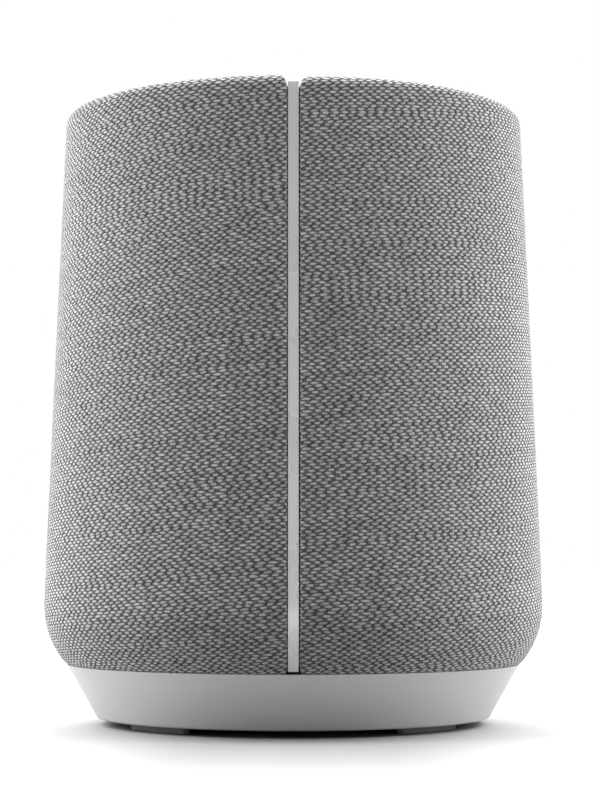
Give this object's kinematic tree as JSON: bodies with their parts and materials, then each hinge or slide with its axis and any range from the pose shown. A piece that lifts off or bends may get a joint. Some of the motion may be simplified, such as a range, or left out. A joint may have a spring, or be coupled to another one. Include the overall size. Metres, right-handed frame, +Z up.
{
  "type": "smart speaker",
  "caption": "Tapered round table speaker wrapped in woven cloth, on a flared painted base, with a metal seam strip down the back and a sunken touch panel on top.",
  "frame": {"origin": "on the table plane, under the middle of the round body", "axes": "+Z up along the body; +Y towards the listener (front); -Y is the side with the seam strip; +X to the right when the strip side is viewed"},
  "size_m": [0.14, 0.14, 0.17],
  "materials": {
    "fabric": "woven melange cloth",
    "frame_plastic": "moulded, matt",
    "spine_metal": "satin silver-grey paint",
    "screw_steel": "zinc plated",
    "trim_plastic": "fine spark texture",
    "panel_gloss": "smooth, satin gloss",
    "icon_white": "printed inlay",
    "light_guide": "frosted, translucent",
    "soft_foam": "closed-cell foam",
    "tape": "foam tape",
    "pcb": "solder mask",
    "inner_plastic": "moulded, matt",
    "soft_rubber": "smooth",
    "wadding": "loose fibre",
    "basket_steel": "powder coat",
    "plated_steel": "zinc plated",
    "magnet": "ground ferrite",
    "coil_copper": "enamelled winding",
    "cone_paper": "pressed pulp",
    "spider_cloth": "resin-dipped cloth",
    "dome_silk": "doped silk",
    "chip_black": "moulded package",
    "tinned_shield": "tin plate",
    "heatsink_alloy": "extruded",
    "wire_insulation": "smooth sleeve",
    "base_satin": "satin silver-grey paint",
    "underside_plastic": "fine spark texture",
    "foot_rubber": "soft, matt",
    "pin_brass": "plated",
    "button_grey": "smooth",
    "slider_red": "smooth"
  },
  "bodies": {
    "housing": {"fabric_sleeve": "fabric", "grille_frame": "frame_plastic", "rear_spine": "spine_metal", "spine_screws": "screw_steel", "top_ring": "trim_plastic", "top_panel": "panel_gloss", "touch_icons": "icon_white", "led_light_guide": "light_guide", "mic_gaskets": "soft_foam", "panel_tape": "tape", "touch_board": "pcb", "top_carrier": "inner_plastic", "top_screws": "screw_steel", "cabinet": "inner_plastic", "wire_glands": "soft_rubber", "chassis_plate": "inner_plastic", "chassis_screws": "screw_steel", "cabinet_gasket": "soft_foam", "front_baffle": "inner_plastic", "baffle_screws": "screw_steel", "damping_pad": "wadding", "woofer_basket": "basket_steel", "woofer_top_plate": "plated_steel", "woofer_magnet": "magnet", "woofer_yoke": "plated_steel", "woofer_surround": "soft_rubber", "woofer_spider": "spider_cloth", "tweeter_faceplate": "trim_plastic", "tweeter_screws": "screw_steel", "tweeter_cup": "plated_steel", "tweeter_magnet": "magnet", "tweeter_pole": "plated_steel", "tweeter_surround": "soft_rubber", "main_board": "pcb", "main_components": "chip_black", "radio_shield": "tinned_shield", "board_screws": "screw_steel", "power_board": "pcb", "power_components": "chip_black", "heatsink": "heatsink_alloy", "speaker_wires": "wire_insulation", "main_harness": "wire_insulation", "base_shell": "base_satin", "base_seal": "soft_foam", "bottom_cover": "underside_plastic", "cover_screws": "screw_steel", "foot_pads": "foot_rubber", "inlet_body": "trim_plastic", "inlet_pins": "pin_brass", "control_board": "pcb", "service_port": "plated_steel", "control_switches": "chip_black"},
    "woofer_cone_group": {"woofer_cone": "cone_paper", "woofer_coil": "coil_copper", "woofer_dust_cap": "cone_paper"},
    "tweeter_dome_group": {"tweeter_dome": "dome_silk", "tweeter_coil": "coil_copper"},
    "pairing_button_group": {"pairing_button": "button_grey"},
    "mute_slider_group": {"mute_slider": "slider_red"}
  },
  "joints": [
    {"name": "woofer_cone_travel", "type": "slide", "parent": "housing", "child": "woofer_cone_group", "axis": [0, 1, 0], "range_m": [-0.004, 0.004], "stiffness_N_per_m": 1200, "deforming": ["woofer_surround", "woofer_spider"]},
    {"name": "tweeter_dome_travel", "type": "slide", "parent": "housing", "child": "tweeter_dome_group", "axis": [0, 1, 0], "range_m": [-0.0003, 0.0003], "stiffness_N_per_m": 2000, "deforming": ["tweeter_surround"]},
    {"name": "pairing_button_press", "type": "slide", "parent": "housing", "child": "pairing_button_group", "axis": [0, 0, 1], "range_m": [0, 0.0006], "stiffness_N_per_m": 1500},
    {"name": "mute_slider_slide", "type": "slide", "parent": "housing", "child": "mute_slider_group", "axis": [1, 0, 0], "range_m": [-0.0012, 0.0012]}
  ]
}
